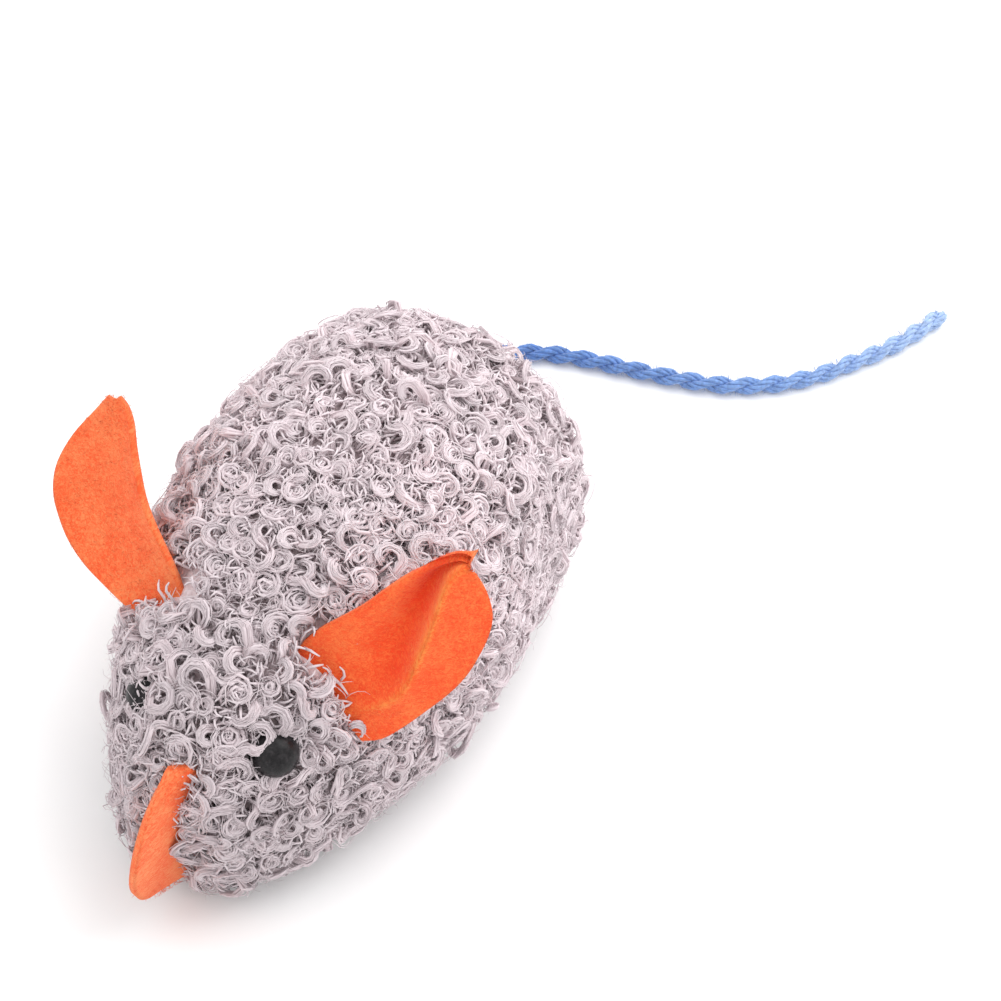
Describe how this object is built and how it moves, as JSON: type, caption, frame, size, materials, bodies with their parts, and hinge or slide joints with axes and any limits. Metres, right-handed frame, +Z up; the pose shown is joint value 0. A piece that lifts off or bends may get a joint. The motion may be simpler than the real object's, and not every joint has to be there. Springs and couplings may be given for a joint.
{
  "type": "clockwork mouse",
  "caption": "Wind-up toy mouse: curly plush cover on a moulded shell, felt ears and nose, bead eyes, twisted cord tail, spring motor with gear train, drive wheels and winding key",
  "frame": {"origin": "on the floor, under the middle of the mouse, measured without its tail", "axes": "+Z up, the nose points to -Y, the tail leaves to +Y, the mouse's left is +X"},
  "size_m": [0.0901, 0.1782, 0.0579],
  "materials": {
    "fur": "curly looped plush, grey-mauve",
    "felt": "dense orange craft felt",
    "eye": "black domed eye",
    "shell_plastic": "grey moulded plastic",
    "white_plastic": "off-white moulded plastic",
    "gear_plastic": "natural acetal",
    "wheel_plastic": "dark moulded plastic",
    "tyre_rubber": "black soft rubber",
    "steel": "bright turned steel",
    "spring_steel": "blued spring steel",
    "key_steel": "nickel-plated pressed steel",
    "brass": "cut brass",
    "cord": "blue twisted cotton cord"
  },
  "bodies": {
    "mouse": {"fur_cover": "fur", "ear_left": "felt", "ear_right": "felt", "nose_tab": "felt", "eye_left": "eye", "eye_right": "eye", "eye_washer_left": "white_plastic", "eye_washer_right": "white_plastic", "body_shell": "shell_plastic", "base_plate": "shell_plastic", "base_screws": "steel", "motor_housing": "white_plastic", "motor_cover": "white_plastic", "cover_screws": "steel", "motor_screws": "steel", "mainspring": "spring_steel", "spring_post": "steel", "second_pin": "steel", "third_pin": "steel", "front_axle": "steel", "tail": "cord", "tail_knot": "cord"},
    "drive": {"drive_axle": "steel", "axle_pinion": "brass", "wheel_left": "wheel_plastic", "wheel_right": "wheel_plastic", "tyre_left": "tyre_rubber", "tyre_right": "tyre_rubber"},
    "third": {"third_gear": "gear_plastic"},
    "second": {"second_gear": "gear_plastic"},
    "great": {"great_gear": "gear_plastic", "ratchet_click": "spring_steel"},
    "arbor": {"winding_arbor": "steel", "ratchet_wheel": "steel", "winding_key": "key_steel"},
    "front": {"front_wheel": "wheel_plastic"}
  },
  "joints": [
    {"name": "drive_spin", "type": "hinge", "parent": "mouse", "child": "drive", "pos_m": [0, 0.0155, 0.007], "axis": [1, 0, 0], "continuous": true},
    {"name": "third_spin", "type": "hinge", "parent": "mouse", "child": "third", "pos_m": [0, 0.00749, 0.01379], "axis": [1, 0, 0], "continuous": true},
    {"name": "second_spin", "type": "hinge", "parent": "mouse", "child": "second", "pos_m": [0, 0.01485, 0.02326], "axis": [1, 0, 0], "continuous": true},
    {"name": "great_spin", "type": "hinge", "parent": "mouse", "child": "great", "pos_m": [0, 0.024, 0.0155], "axis": [1, 0, 0], "continuous": true},
    {"name": "key_turn", "type": "hinge", "parent": "mouse", "child": "arbor", "pos_m": [0, 0.024, 0.0155], "axis": [1, 0, 0], "continuous": true},
    {"name": "front_spin", "type": "hinge", "parent": "mouse", "child": "front", "pos_m": [0, -0.0215, 0.005], "axis": [1, 0, 0], "continuous": true}
  ],
  "couplings": [
    {"joint": "third_spin", "follows": "drive_spin", "ratio": -0.4},
    {"joint": "second_spin", "follows": "drive_spin", "ratio": 0.13333},
    {"joint": "great_spin", "follows": "drive_spin", "ratio": -0.044444},
    {"joint": "key_turn", "follows": "drive_spin", "ratio": -0.044444}
  ]
}
